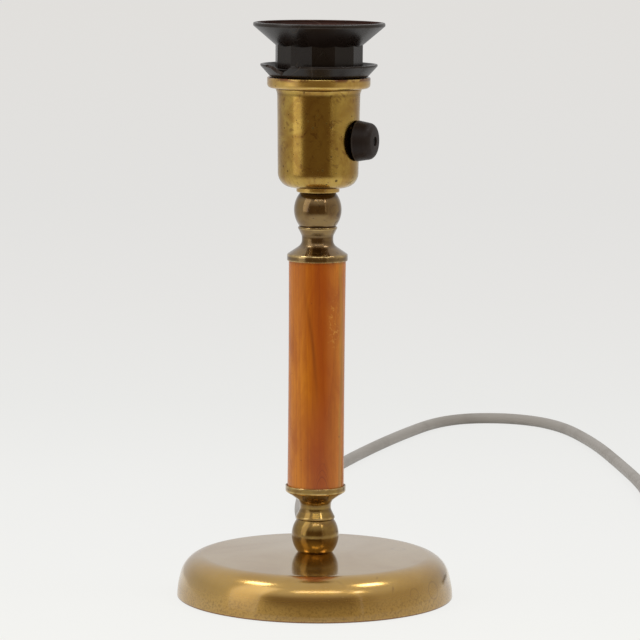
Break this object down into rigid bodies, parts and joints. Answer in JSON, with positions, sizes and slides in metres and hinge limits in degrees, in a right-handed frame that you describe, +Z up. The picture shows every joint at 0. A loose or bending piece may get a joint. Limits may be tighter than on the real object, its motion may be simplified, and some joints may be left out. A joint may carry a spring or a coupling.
{
  "type": "table lamp",
  "caption": "Electric table lamp with a round brass foot, a turned wooden column, a brass holder with a rotary knob, dark shade rings and a grey lead.",
  "frame": {"origin": "middle of the foot's underside, on the table", "axes": "+Z up along the column, +X to the right seen from the front, -Y to the front, and the lead leaves at +Y"},
  "size_m": [0.3793, 0.6492, 0.2909],
  "materials": {
    "foot_brass": "spun brass, worn satin lacquer",
    "bronzed_brass": "turned brass, dark bronzed and rubbed bright on the ball",
    "holder_brass": "drawn brass, brushed round, spotted",
    "ring_brass": "brass with reddish brown stains",
    "column_wood": "lacquered, straight grained",
    "dark_bakelite": "pressed moulding, softly glossy, worn",
    "knob_bakelite": "pressed moulding, softly glossy",
    "contact_brass": "bright pressed sheet",
    "steel": "zinc plated",
    "iron": "raw casting",
    "felt": "short felt",
    "lead_grey": "smooth soft sheath",
    "live_brown": "core insulation",
    "neutral_blue": "core insulation",
    "earth_green": "core insulation",
    "plug_grey": "moulded on, fine grain",
    "pin_plating": "nickel plated",
    "tie_black": "woven strap"
  },
  "bodies": {
    "lamp": {"felt_pad": "felt", "base_shell": "foot_brass", "base_weight": "iron", "base_washer": "steel", "base_nut": "steel", "threaded_tube": "steel", "lower_fitting": "bronzed_brass", "wood_column": "column_wood", "upper_fitting": "bronzed_brass", "holder_collar": "bronzed_brass", "holder_shell": "holder_brass", "holder_nut": "steel", "contact_block": "dark_bakelite", "terminals": "contact_brass", "terminal_screws": "steel", "lamp_screw_shell": "contact_brass", "centre_contact": "contact_brass", "threaded_barrel": "dark_bakelite", "holder_top_ring": "ring_brass", "switch_bush": "contact_brass", "lead_bush": "lead_grey", "lead_inner": "lead_grey", "live_core": "live_brown", "neutral_core": "neutral_blue", "earth_core": "earth_green", "earth_tag": "steel", "earth_screw": "steel", "lead_clamp": "tie_black", "clamp_screws": "steel", "lead_free": "lead_grey", "lead_coil": "lead_grey", "coil_tie": "tie_black", "plug_body": "plug_grey", "plug_pins": "pin_plating", "plug_earth_strips": "pin_plating"},
    "lower_ring": {"lower_shade_ring": "dark_bakelite"},
    "upper_ring": {"upper_shade_ring": "dark_bakelite"},
    "switch": {"switch_shaft": "steel", "switch_rotor": "dark_bakelite", "switch_knob": "knob_bakelite", "knob_screw": "steel"}
  },
  "joints": [
    {"name": "lower_ring_travel", "type": "slide", "parent": "lamp", "child": "lower_ring", "axis": [0, 0, 1], "range_m": [0, 0.0045]},
    {"name": "upper_ring_travel", "type": "slide", "parent": "lower_ring", "child": "upper_ring", "axis": [0, 0, 1], "range_m": [0, 0.006]},
    {"name": "switch_turn", "type": "hinge", "parent": "lamp", "child": "switch", "pos_m": [0, 0, 0.2324], "axis": [0.9336, -0.3584, 0], "continuous": true}
  ]
}
